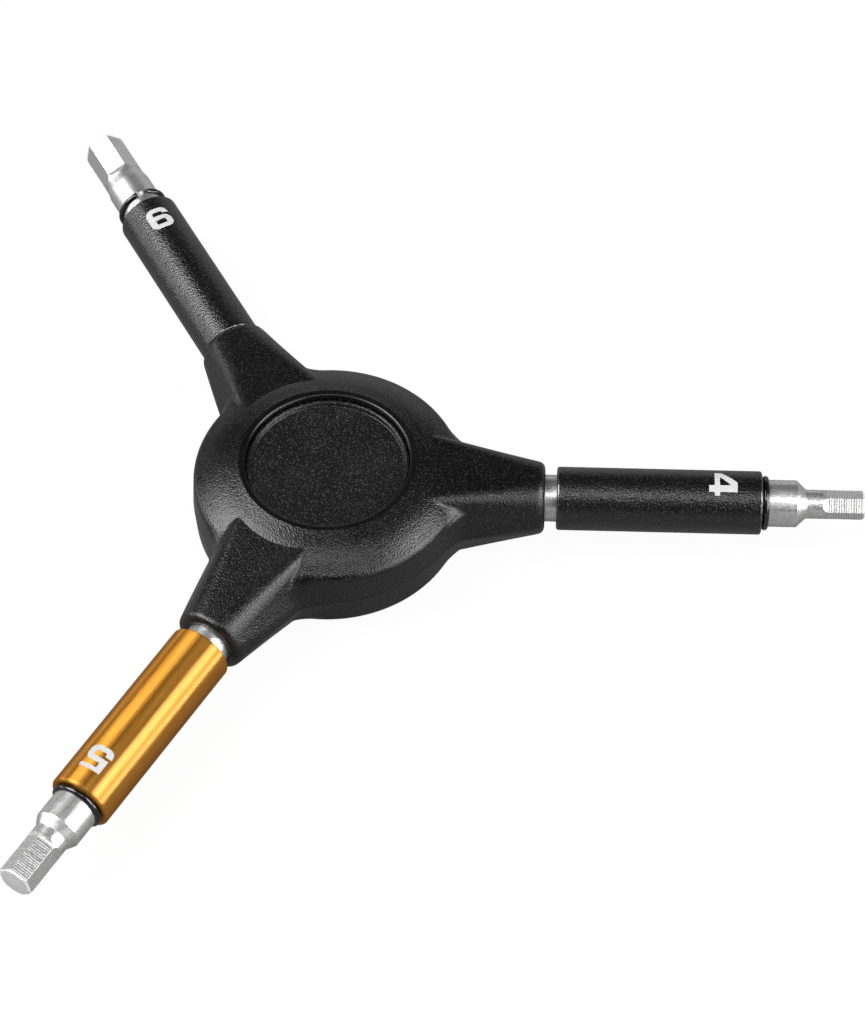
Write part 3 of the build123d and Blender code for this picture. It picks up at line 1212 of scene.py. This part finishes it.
@dataclass
class Shank:
    """A steel arm: round bar, ring groove, collar, stepped neck and the milled hex bit.

    Its surface is a radius as a function of the place along the arm and the angle about it: the
    smallest of the turned bar and the six flats. A flat is the plane at half the hex size, and
    ends in the cutter's round. The columns close in on each flat's edges, row by row, so that
    edges and run-outs stay crisp.
    """

    arm: Arm
    radius: float = 3.7
    root: float = 6.0
    root_chamfer: float = 0.5
    key_end: float = 14.0
    key_half_thickness: float = 2.8
    lock_start: float = 18.0
    lock_end: float = 20.0
    lock_depth: float = 0.6
    groove_start: float = 68.2
    groove_end: float = 69.26
    groove_radius: float = 3.27
    collar_end: float = 73.66
    collar_rounding: float = 0.25
    step_length: float = 1.5
    step_rounding: float = 0.5
    tip: float = 84.41
    cutter_radius: float = 1.6
    cutter_reach: float = 0.999
    chamfer: float = 0.35
    faced_share: float = 1.01
    land: float = 0.03
    hex_direction: float = -18.5
    sides: int = 6
    mill_pitch: float = 0.39
    mill_depth: float = 0.045
    mill_shares: Span = (0.6, 0.4)
    mill_change: float = 1.7
    row_step: float = 0.0433
    flat_columns: int = 14
    land_columns: int = 10
    least_half_angle: float = 4.0
    least_cosine: float = 1e-6
    sharp_angle: float = 24.0

    @property
    def neck_radius(self) -> float:
        """Radius of the neck behind the flats and of the corners that the flats leave."""
        return self.arm.across_flats / 2 / math.cos(math.pi / self.sides) - self.land

    @property
    def flat_start(self) -> float:
        """Where the flats start along the arm, past their run-out."""
        return self.tip - self.arm.flat_length

    def bar_profile(self) -> Array:
        """Outline of the bar from its root to the end of its groove.

        Returns:
            Points (x, radius).
        """
        lock_radius = self.radius - self.lock_depth
        corners = [
            (self.root, self.radius - self.root_chamfer),
            (self.root + self.root_chamfer, self.radius),
            (self.lock_start, self.radius),
            (self.lock_start, lock_radius),
            (self.lock_end, lock_radius),
            (self.lock_end, self.radius),
            (self.groove_start, self.radius),
            (self.groove_start, self.groove_radius),
            (self.groove_end, self.groove_radius),
            (self.groove_end, self.radius),
        ]
        return np.array(corners)

    def bit_profile(self) -> Array:
        """Outline of the collar, step, neck and tip, with rows close together on the flats.

        Returns:
            Points (x, radius).
        """
        neck = self.neck_radius
        corners = [
            (self.groove_end, self.radius),
            (self.collar_end, self.radius),
            (self.collar_end + self.step_length, neck),
            (self.tip - self.chamfer, neck),
            (self.tip, neck - self.chamfer),
        ]
        outline = rounded_outline(corners, [0, self.collar_rounding, self.step_rounding, 0, 0])
        milled = np.arange(self.flat_start - self.cutter_radius, self.tip, self.row_step)
        along = np.unique(np.round(np.concatenate([outline[:, 0], milled]), 6))
        return np.stack([along, np.interp(along, outline[:, 0], outline[:, 1])], axis=-1)[1:]

    def flat_height(self, along: Array) -> Array:
        """Height of a flat above the axis, with the cutter's scallops and its round run-out.

        The scallops rise by the share of the pitch from a cutter mark's middle, squared, and their
        depth changes from mark to mark by a sine. Before the flat starts, the height follows a
        circle of the cutter's radius, and before that circle the flat has no effect.

        Args:
            along: Places along the arm.

        Returns:
            The height at each.
        """
        half = self.arm.across_flats / 2
        start = self.flat_start
        mark = (along - start) / self.mill_pitch
        middle = np.floor(mark + 0.5)
        least, change = self.mill_shares
        uneven = least + change * np.sin(self.mill_change * middle)
        scallop = self.mill_depth * uneven * (2 * (mark - middle)) ** 2
        back = np.clip(start - along, 0, self.cutter_radius)
        arc = self.cutter_radius - np.sqrt(self.cutter_radius**2 - back**2)
        height = half + np.where(along < start, arc, scallop - self.mill_depth)
        return np.where(along < start - self.cutter_radius * self.cutter_reach, self.radius * 2, height)

    def grid(self, profile: Array) -> Array:
        """The bar with the flats and the key cut into it.

        A flat reaches as far about the arm as the angle whose cosine is its height over the turned
        radius. On it the radius is that height over the cosine of the angle from its middle, where
        that is less than the turned radius. The key's two flats cut the root in the same way.

        Args:
            profile: Points (x, radius) of the turned bar.

        Returns:
            Grid of points (x, across, height), a row for each point of the profile.
        """
        along, turned = profile[:, 0], profile[:, 1]
        height = self.flat_height(along)
        edge = np.arccos(np.clip(height / turned, 0, 1))
        edge = np.maximum(edge, math.radians(self.least_half_angle))
        half_side = math.pi / self.sides
        flat_shares = np.linspace(-1, 1, self.flat_columns)
        land_shares = np.linspace(0, 1, self.land_columns + 2)[1:-1]
        on_flat = edge[:, None] * flat_shares
        on_land = edge[:, None] + (2 * half_side - 2 * edge[:, None]) * land_shares
        about = np.concatenate([on_flat, on_land], axis=1)
        on_flat_radius = np.minimum(turned[:, None], height[:, None] / np.cos(on_flat))
        radius = np.concatenate([on_flat_radius, np.broadcast_to(turned[:, None], on_land.shape)], axis=1)
        starts = math.radians(self.hex_direction) + 2 * half_side * np.arange(self.sides)
        angles = (starts[None, :, None] + about[:, None, :]).reshape(len(along), -1)
        radii = np.tile(radius, (1, self.sides))
        keyed = self.key_half_thickness / np.maximum(np.abs(np.cos(angles)), self.least_cosine)
        radii = np.where((along < self.key_end)[:, None], np.minimum(radii, keyed), radii)
        x = np.broadcast_to(along[:, None], radii.shape)
        return np.stack([x, -radii * np.sin(angles), radii * np.cos(angles)], axis=-1)

    def build(self, material: Material) -> None:
        """Makes the shank in the place of its node, with its flats and its faced end marked.

        Args:
            material: Its finish.
        """
        profile = np.concatenate([self.bar_profile(), self.bit_profile()])
        grid = self.grid(profile)
        flow = flow_along(grid[..., 0], np.arctan2(-grid[..., 1], grid[..., 2]))
        below = profile[:, 1:] - np.hypot(grid[..., 1], grid[..., 2])
        milled = (below > self.land / 2) & (profile[:, :1] > self.flat_start)
        faced = profile[:, :1] > self.tip - self.chamfer * self.faced_share
        value = np.where(faced, Mark.FACED.value, np.where(milled, Mark.CUT.value, Mark.PLAIN.value))
        builder = MeshBuilder()
        numbers = builder.add_grid(self.arm.place(grid), False, True, value, flow)
        builder.close_start(numbers[0], self.arm.place(np.array([self.root, 0.0, 0.0])))
        builder.close_end(numbers[-1], self.arm.place(np.array([self.tip, 0.0, 0.0])), Mark.FACED.value)
        shank = builder.build(f"arm_{self.arm.label}_hex_shank", self.sharp_angle)
        dress(shank, material, "hub", f"shank_{self.arm.label}")


@dataclass
class RetainingRing:
    """A round wire bent into an open ring: a circle carried along an arc about the arm.

    At both ends of the arc the circle shrinks, to round the wire off.
    """

    arm: Arm
    place_along: float = 68.73
    wire_radius: float = 0.5
    inner_radius: float = 3.3
    gap: float = 1.6
    gap_direction: float = 2.0
    open_at_top: bool = False
    cap_share: float = 0.35
    cap_start: float = 0.15
    cap_rows: int = 5
    rows: int = 120
    columns: int = 24
    sharp_angle: float = 60.0

    def build(self, material: Material) -> None:
        """Makes the ring in the place of its node.

        Args:
            material: Its finish.
        """
        bend = self.inner_radius + self.wire_radius
        half_gap = math.asin(self.gap / 2 / bend)
        middle = math.radians(self.gap_direction) + (0.0 if self.open_at_top else math.pi)
        cap = self.wire_radius * self.cap_share / bend
        body = np.linspace(middle + half_gap + cap, middle + 2 * math.pi - half_gap - cap, self.rows)
        round_off = np.linspace(0, math.pi / 2, self.cap_rows, endpoint=False)
        about = np.concatenate([body[0] - cap * np.cos(round_off), body, body[-1] + cap * np.sin(round_off)])
        sizes = np.concatenate([np.sin(round_off + self.cap_start), np.ones(self.rows), np.cos(round_off)])
        wire = self.wire_radius * sizes[:, None]
        round_wire = full_turn(self.columns)
        out = bend + wire * np.cos(round_wire)
        along = self.place_along + wire * np.sin(round_wire)
        points = np.stack([along, -out * np.sin(about)[:, None], out * np.cos(about)[:, None]], axis=-1)
        turned = turned_about_x(np.array([[self.place_along, bend]]), about[[0, -1]])[0]
        builder = MeshBuilder()
        numbers = builder.add_grid(self.arm.place(points), False, True)
        builder.close_start(numbers[0], self.arm.place(turned[0]))
        builder.close_end(numbers[-1], self.arm.place(turned[1]))
        ring = builder.build(f"arm_{self.arm.label}_retaining_ring", self.sharp_angle)
        dress(ring, material, "hub", f"retaining_ring_{self.arm.label}")


@dataclass
class Sleeve:
    """A hand sleeve: a closed outline turned about the arm, with its end edges marked as worn."""

    arm: Arm
    radius: float = 5.0
    length: float = 32.2
    rounding: float = 0.4
    lip_length: float = 0.9
    lip_radius: float = 3.85
    bore_radius: float = 4.27
    wear_reach: float = 0.12
    worn_share: float = 0.75
    columns: int = 240
    sharp_angle: float = 40.0

    def build(self, material: Material, slot: str) -> None:
        """Makes the sleeve in the place of its node.

        Args:
            material: Its finish.
            slot: The record's material slot, which is not used.
        """
        start = self.arm.sleeve_start
        end = start + self.length
        near, far = start + self.rounding, end - self.rounding
        corners = [
            (start, self.lip_radius),
            (start, self.radius),
            (near + self.wear_reach, self.radius),
            (near + 2 * self.wear_reach, self.radius),
            (far - 2 * self.wear_reach, self.radius),
            (far - self.wear_reach, self.radius),
            (end, self.radius),
            (end, self.lip_radius),
            (end - self.lip_length, self.lip_radius),
            (end - self.lip_length, self.bore_radius),
            (start + self.lip_length, self.bore_radius),
            (start + self.lip_length, self.lip_radius),
        ]
        edges = [(start, self.radius), (end, self.radius)]
        radii = [self.rounding if corner in edges else 0.0 for corner in corners]
        profile = rounded_outline(corners, radii, closed=True)
        outside = profile[:, 1] > self.lip_radius + self.wear_reach
        from_end = np.minimum(profile[:, 0] - start, end - profile[:, 0])
        reach = self.rounding * self.worn_share
        worn = outside & (from_end < reach) & (self.radius - profile[:, 1] < reach)
        value = np.where(worn, Mark.CUT.value, Mark.PLAIN.value)[:, None]
        about = full_turn(self.columns)
        builder = MeshBuilder()
        grid = self.arm.place(turned_about_x(profile, about))
        builder.add_grid(grid, True, True, value, flow_along(profile[:, :1], about))
        sleeve = builder.build(f"arm_{self.arm.label}_sleeve", self.sharp_angle)
        dress(sleeve, material, f"spinning_sleeve_{self.arm.label}", f"sleeve_{self.arm.label}")


@dataclass
class SizeDigit:
    """A printed size: strokes laid on the sleeve, each a strip between two edge lines.

    A pen stroke's centre line is offset to both sides by an elliptical pen, so uprights are wider
    than bars. A flat point (across, up) goes to the angle across over the radius, at the place
    along the arm that is the digit's middle plus up.
    """

    arm: Arm
    sleeve_end: float
    surface_radius: float = 5.0
    print_height: float = 0.012
    print_depth: float = 0.03
    pen_across: float = 0.56
    pen_up: float = 0.44
    strip_columns: int = 6
    sample_step: float = 0.06
    samples: int = 40
    corner_steps: int = 12
    sharp_angle: float = 40.0

    def stroke(self, corners: Points, radii: list[float]) -> Edges:
        """Edges of a pen stroke along a rounded line.

        Args:
            corners: Corners of the centre line.
            radii: Its roundings.

        Returns:
            The left edge and the right edge, point by point.
        """
        line = rounded_outline(corners, radii, steps=self.corner_steps)
        length = np.concatenate([[0.0], np.cumsum(np.linalg.norm(np.diff(line, axis=0), axis=1))])
        at = np.linspace(0, length[-1], math.ceil(length[-1] / self.sample_step) + 1)
        line = np.stack([np.interp(at, length, line[:, axis]) for axis in (0, 1)], axis=-1)
        run = np.gradient(line, axis=0)
        run[0], run[-1] = line[1] - line[0], line[-1] - line[-2]
        run /= np.linalg.norm(run, axis=1, keepdims=True)
        offset = np.stack([-run[:, 1] * self.pen_across, run[:, 0] * self.pen_up], axis=-1)
        return line + offset, line - offset

    def block(self, left: float, right: float, low: float, high: float) -> Edges:
        """Edges of a rectangular stroke.

        Args:
            left: Its left side.
            right: Its right side.
            low: Its lower edge.
            high: Its upper edge.

        Returns:
            The upper edge and the lower edge, point by point.
        """
        across = np.linspace(left, right, self.samples)
        upper, lower = (np.stack([across, np.full_like(across, up)], -1) for up in (high, low))
        return upper, lower

    def four(self) -> list[Edges]:
        """Edges of a 4: its upright, the bar on both sides of it and the slope.

        The slope's outer edge bends at shares of its way, the knots, and its inner edge is straight.

        Returns:
            The edges of each stroke.
        """
        left, stem_left, stem_right, right = -2.3, 0.5, 1.68, 2.3
        bar_low, bar_high, top = -1.34, -0.53, 2.23
        heel_high, peak_left = -0.27, -0.05
        notch_left, notch_width, notch_rise = -1.2, 1.7, 1.76
        knots = [0.0, 0.08, 0.86, 1.0]
        at = np.linspace(0, 1, 2 * self.samples)
        across = np.interp(at, knots, [left, left, peak_left, stem_left])
        outer = np.stack([across, np.interp(at, knots, [bar_high, heel_high, top, top])], -1)
        inner = np.stack([notch_left + notch_width * at, bar_high + notch_rise * at], -1)
        return [
            self.block(stem_left, stem_right, -top, top),
            self.block(left, stem_left, bar_low, bar_high),
            self.block(stem_right, right, bar_low, bar_high),
            (outer, inner),
        ]

    def five(self) -> list[Edges]:
        """Edges of a 5: its top bar, its upright and its bowl.

        Returns:
            The edges of each stroke.
        """
        left, stem_right, right = -1.72, -0.72, 1.97
        stem_low, bar_low, top = -0.27, 1.5, 2.21
        bowl = [(stem_right, 0.17), (1.48, 0.17), (1.48, -1.77), (-1.38, -1.77), (-1.38, -0.75)]
        return [
            self.block(left, right, bar_low, top),
            self.block(left, stem_right, stem_low, bar_low),
            self.stroke(bowl, [0.0, 0.75, 0.75, 0.65, 0.0]),
        ]

    def six(self) -> list[Edges]:
        """Edges of a 6: one pen stroke that ends on its own side.

        Returns:
            The edges of the stroke.
        """
        head = [(1.38, 0.94), (1.38, 1.79), (-1.46, 1.79)]
        bowl = [(-1.46, -1.79), (1.42, -1.79), (1.42, 0.09), (-0.9, 0.09)]
        return [self.stroke(head + bowl, [0.0, 0.65, 0.8, 0.8, 0.8, 0.7, 0.0])]

    def build(self, material: Material) -> None:
        """Makes the print as a thin closed layer on the sleeve, with a cap at both ends of a strip.

        Args:
            material: Its finish.
        """
        strips = {Arm.FOUR: self.four, Arm.FIVE: self.five, Arm.SIX: self.six}[self.arm]()
        middle = self.sleeve_end - self.arm.print_from_end
        shares = np.linspace(0, 1, self.strip_columns)[None, :, None]
        builder = MeshBuilder()
        for one_edge, other_edge in strips:
            flat = one_edge[:, None] * (1 - shares) + other_edge[:, None] * shares
            angle = flat[..., 0] / self.surface_radius
            layers = []
            for radius in (self.surface_radius + self.print_height, self.surface_radius - self.print_depth):
                height = radius * np.cos(angle)
                layers.append(np.stack([middle + flat[..., 1], -radius * np.sin(angle), height], axis=-1))
            loop = np.concatenate([layers[0], layers[1][:, ::-1]], axis=1)
            numbers = builder.add_grid(self.arm.place(loop), False, True)
            columns = self.strip_columns
            for row in (numbers[0], numbers[-1]):
                top, bottom = row[:columns], row[columns:][::-1]
                cap = np.stack([top[:-1], top[1:], bottom[1:], bottom[:-1]], axis=-1)
                builder.faces.append(cap if row is numbers[0] else cap[:, ::-1])
        digit = builder.build(f"arm_{self.arm.label}_size_digit", self.sharp_angle)
        dress(digit, material, f"spinning_sleeve_{self.arm.label}")


@dataclass
class HiddenPieces:
    """The screws under the disc and the liners inside the sleeves, kept as they are built."""

    liner: PlainFinish = LINER
    screw: PlainFinish = SCREW

    def build(self) -> None:
        """Gives the kept nodes their materials."""
        finishes = {"sleeve_liner": self.liner.material(), "shell_screws": self.screw.material()}
        for name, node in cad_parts.items():
            for start, material in finishes.items():
                if name.startswith(start):
                    node.data.materials.clear()
                    node.data.materials.append(material)
                    LOG.info("%s keeps its built shape", name)


@dataclass(frozen=True)
class SoftLight:
    """A rectangular soft light that looks at the middle of the wrench.

    Its bearing is measured from +X round the hub. Distance, width and height are in metres, and
    power is in watts.
    """

    name: str
    bearing: float
    elevation: float
    distance: float
    width: float
    height: float
    power: float

    def build(self) -> None:
        """Makes the light, with its width level and its back away from the wrench."""
        light = bpy.data.lights.new(self.name, "AREA")
        light.shape = "RECTANGLE"
        light.size = self.width
        light.size_y = self.height
        light.energy = self.power
        holder = bpy.data.objects.new(self.name, light)
        flat = math.cos(math.radians(self.elevation))
        away = np.array([
            flat * math.cos(math.radians(self.bearing)),
            flat * math.sin(math.radians(self.bearing)),
            math.sin(math.radians(self.elevation)),
        ])
        side = np.cross([0.0, 0.0, 1.0], away)
        side /= np.linalg.norm(side)
        up = np.cross(away, side)
        turn = Matrix(np.stack([side, up, away], axis=1).tolist()).to_4x4()
        turn.translation = (away * self.distance).tolist()
        holder.matrix_world = turn
        bpy.context.scene.collection.objects.link(holder)


@dataclass
class Studio:
    """A plain pale floor, soft lights, a dim world and the camera of the photograph.

    The camera is a pinhole: its focal length and the photograph's shift are in pixels.
    """

    floor_size: float = 3000.0
    floor_colour: Colour = (0.2, 0.2, 0.2)
    floor_roughness: float = 0.9
    floor_glow_share: float = 0.8
    floor_glow: float = 1.195
    mirrored_share: float = 0.08
    world_strength: float = 0.06
    backdrop_top: float = 0.0
    backdrop_fade: float = 7.0
    camera_place: Vector = (28.81, -342.19, 451.76)
    camera_pitch: float = 52.5
    camera_yaw: float = 2.05
    camera_roll: float = -0.28
    camera_reach: Span = (10.0, 10000.0)
    focal_pixels: float = 3547.85
    frame_height_pixels: float = 1024.0
    sensor_width: float = 36.0
    middle_right_pixels: float = 1.26
    middle_up_pixels: float = 4.78
    lights: tuple[SoftLight, ...] = field(
        default=(
            SoftLight("left_softbox", 181.0, 48.0, 0.9, 0.6, 0.62, 9.1),
            SoftLight("right_softbox", -6.0, 38.0, 0.9, 0.42, 0.4, 3.2),
            SoftLight("right_panel", -29.0, 30.0, 1.0, 0.85, 0.85, 6.3),
            SoftLight("left_strip", 168.0, 6.0, 0.9, 0.5, 0.26, 1.2),
            SoftLight("right_strip", -4.0, 3.0, 0.9, 0.45, 0.16, 2.0),
            SoftLight("front_softbox", -86.0, 70.0, 0.9, 0.5, 0.16, 1.3),
            SoftLight("back_strip", 88.0, 14.0, 0.9, 0.8, 0.3, 0.3),
        )
    )

    def floor(self) -> None:
        """Makes the floor at the height of the wrench's underside, pale to the camera with a shadow left."""
        half = self.floor_size / 2 * MM
        across, away = np.meshgrid([-half, half], [-half, half])
        builder = MeshBuilder()
        builder.add_grid(np.stack([across, away, np.zeros_like(across)], axis=-1), False, False)
        floor = builder.build("studio_floor")
        nodes = MaterialNodes("studio_floor")
        nodes.finish(Base_Color=self.floor_colour, Roughness=self.floor_roughness, Specular_IOR_Level=0.0)
        glow = nodes.add("ShaderNodeEmission", {"Color": WHITE, "Strength": self.floor_glow})
        from_camera, mirrored = nodes.rays()
        seen = nodes.maths("MAXIMUM", from_camera, nodes.maths("MULTIPLY", mirrored, self.mirrored_share))
        factor = nodes.maths("MULTIPLY", seen, self.floor_glow_share)
        mixed = nodes.add("ShaderNodeMixShader", {0: factor, 1: nodes.shader.outputs[0], 2: glow.outputs[0]})
        nodes.put(nodes.tree.nodes["Material Output"].inputs["Surface"], mixed.outputs[0])
        floor.data.materials.append(nodes.material)

    def world(self) -> None:
        """Lights the scene dimly from all round, with a white backdrop behind the floor's edge.

        The camera sees it white all over. Reflections see it white low down, and dim from a little
        above, by the sine of a ray's angle over the floor.
        """
        world = bpy.data.worlds.new("studio_world")
        world.use_nodes = True
        nodes = NodeTree(world.node_tree)
        direction = nodes.add("ShaderNodeTexCoord").outputs["Generated"]
        rise = nodes.add("ShaderNodeSeparateXYZ", {0: direction}).outputs[2]
        foot = math.sin(math.radians(self.backdrop_top))
        head = math.sin(math.radians(self.backdrop_top + self.backdrop_fade))
        backdrop = nodes.ramp(rise, (foot, head), (1.0, self.world_strength))
        from_camera, mirrored = nodes.rays()
        strength = nodes.ramp(mirrored, RISING, (self.world_strength, backdrop))
        background = nodes.tree.nodes["Background"].inputs
        nodes.put(background["Color"], WHITE)
        nodes.put(background["Strength"], nodes.maths("MAXIMUM", from_camera, strength))
        bpy.context.scene.world = world

    def camera(self) -> None:
        """Sets the camera at the photograph's place, turn and focal length.

        Its back points from the wrench to the camera by yaw and pitch, its right is level, and
        both right and up are then rolled about the back.
        """
        yaw, pitch = math.radians(self.camera_yaw), math.radians(self.camera_pitch)
        roll = math.radians(self.camera_roll)
        back = np.array([math.sin(yaw) * math.cos(pitch), -math.cos(yaw) * math.cos(pitch), math.sin(pitch)])
        level = np.array([math.cos(yaw), math.sin(yaw), 0.0])
        upright = np.cross(back, level)
        right = level * math.cos(roll) + upright * math.sin(roll)
        up = upright * math.cos(roll) - level * math.sin(roll)
        data = bpy.data.cameras.new("photo_camera")
        data.sensor_width = self.sensor_width
        data.lens = self.focal_pixels * self.sensor_width / self.frame_height_pixels
        data.shift_x = -self.middle_right_pixels / self.frame_height_pixels
        data.shift_y = -self.middle_up_pixels / self.frame_height_pixels
        data.clip_start, data.clip_end = in_metres(self.camera_reach)
        camera = bpy.data.objects.new("photo_camera", data)
        turn = Matrix(np.stack([right, up, back], axis=1).tolist()).to_4x4()
        turn.translation = [part * MM for part in self.camera_place]
        camera.matrix_world = turn
        bpy.context.scene.collection.objects.link(camera)
        bpy.context.scene.camera = camera

    def build(self) -> None:
        """Makes the whole studio."""
        self.floor()
        self.world()
        self.camera()
        for light in self.lights:
            light.build()
        bpy.context.scene.view_settings.view_transform = "Standard"
        LOG.info("studio is set")


def main() -> None:
    """Builds the wrench piece by piece, then the studio."""
    logging.basicConfig(level=logging.INFO, format="%(name)s: %(message)s")
    HubShells().build()
    CentreDisc().build()
    black = (SandedCoat().material(), "black_coat")
    gold = (GoldAnodised(Arm.FIVE).material(), "gold_anodised")
    wire, white = WIRE.material(), PRINT.material()
    for arm in Arm:
        Shank(arm).build(PlatedSteel(arm).material())
        RetainingRing(arm, open_at_top=arm is Arm.SIX).build(wire)
        sleeve = Sleeve(arm)
        sleeve.build(*(gold if arm is Arm.FIVE else black))
        SizeDigit(arm, arm.sleeve_start + sleeve.length).build(white)
    HiddenPieces().build()
    Studio().build()


if __name__ == "__main__":
    main()
